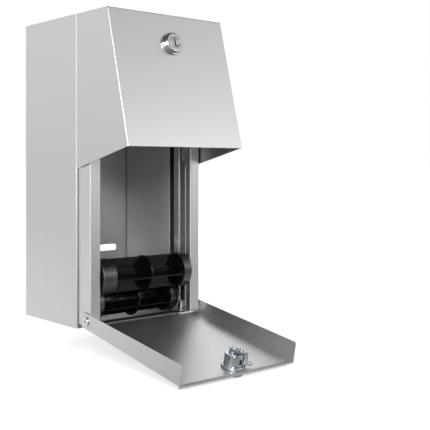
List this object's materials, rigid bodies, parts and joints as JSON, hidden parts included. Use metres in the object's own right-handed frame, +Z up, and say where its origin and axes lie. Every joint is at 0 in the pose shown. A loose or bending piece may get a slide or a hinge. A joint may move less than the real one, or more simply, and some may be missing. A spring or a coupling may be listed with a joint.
{
  "type": "double roll toilet paper dispenser",
  "caption": "Wall-mounted stainless steel dispenser for toilet rolls on tracked spindles, with a hinged locking hood and a door that swings down.",
  "frame": {"origin": "middle of the case's back face, which lies on the wall", "axes": "+Z up, +Y into the wall, -Y towards the user, +X to the user's right"},
  "size_m": [0.138, 0.2572, 0.3292],
  "materials": {
    "brushed_case": "brushed along the height, satin",
    "brushed_inner": "brushed, satin",
    "brushed_hood": "brushed, satin",
    "brushed_door": "brushed, satin",
    "bright_steel": "bright",
    "chrome_plate": "polished",
    "black_plastic": "gloss black"
  },
  "bodies": {
    "case": {"case_shell": "brushed_case", "guide_left": "brushed_inner", "guide_right": "brushed_inner", "slot_rail_left": "brushed_inner", "slot_rail_right": "brushed_inner", "post_left": "brushed_inner", "post_right": "brushed_inner", "sill": "brushed_inner", "track_foot_left": "bright_steel", "track_foot_right": "bright_steel", "hood_strike": "bright_steel", "door_pin_left": "bright_steel", "door_pin_right": "bright_steel"},
    "hood": {"hood_shell": "brushed_hood", "hood_pin_left": "bright_steel", "hood_pin_right": "bright_steel", "hood_lock_body": "chrome_plate", "hood_lock_nut": "chrome_plate"},
    "hood_lock_rotor": {"hood_lock_plug": "chrome_plate", "hood_lock_washer": "chrome_plate", "hood_lock_cam": "bright_steel", "hood_lock_end_nut": "chrome_plate"},
    "door": {"door_panel": "brushed_door", "door_lock_body": "chrome_plate", "door_lock_nut": "chrome_plate"},
    "door_lock_rotor": {"door_lock_plug": "chrome_plate", "door_lock_washer": "chrome_plate", "door_lock_cam": "chrome_plate", "door_lock_end_nut": "chrome_plate"},
    "lower_carrier": {"lower_axle": "bright_steel", "lower_runner_left": "black_plastic", "lower_runner_right": "black_plastic"},
    "lower_roller": {"lower_spool": "black_plastic", "lower_cup_left": "black_plastic", "lower_cup_right": "black_plastic"},
    "upper_carrier": {"upper_axle": "bright_steel", "upper_runner_left": "black_plastic", "upper_runner_right": "black_plastic"},
    "upper_roller": {"upper_spool": "black_plastic", "upper_cup_left": "black_plastic", "upper_cup_right": "black_plastic"}
  },
  "joints": [
    {"name": "hood_hinge", "type": "hinge", "parent": "case", "child": "hood", "pos_m": [0, -0.1035, 0.007], "axis": [1, 0, 0], "range_deg": [0, 70]},
    {"name": "hood_lock_turn", "type": "hinge", "parent": "hood", "child": "hood_lock_rotor", "pos_m": [0, -0.15893, 0.121], "axis": [0, -0.9695, 0.245], "range_deg": [0, 90]},
    {"name": "door_hinge", "type": "hinge", "parent": "case", "child": "door", "pos_m": [0, -0.1148, -0.1412], "axis": [-1, 0, 0], "range_deg": [0, 94]},
    {"name": "door_lock_turn", "type": "hinge", "parent": "door", "child": "door_lock_rotor", "pos_m": [0.0025, -0.2422, -0.17213], "axis": [0, -0.1822, 0.9833], "range_deg": [-57, 33]},
    {"name": "lower_lift", "type": "slide", "parent": "case", "child": "lower_carrier", "axis": [0, 0, 1], "range_m": [0, 0.04]},
    {"name": "lower_spin", "type": "hinge", "parent": "lower_carrier", "child": "lower_roller", "pos_m": [0, -0.0843, -0.1297], "axis": [1, 0, 0], "continuous": true},
    {"name": "upper_lift", "type": "slide", "parent": "lower_carrier", "child": "upper_carrier", "axis": [0, 0, 1], "range_m": [0, 0.12]},
    {"name": "upper_spin", "type": "hinge", "parent": "upper_carrier", "child": "upper_roller", "pos_m": [0, -0.10655, -0.10204], "axis": [1, 0, 0], "continuous": true}
  ]
}
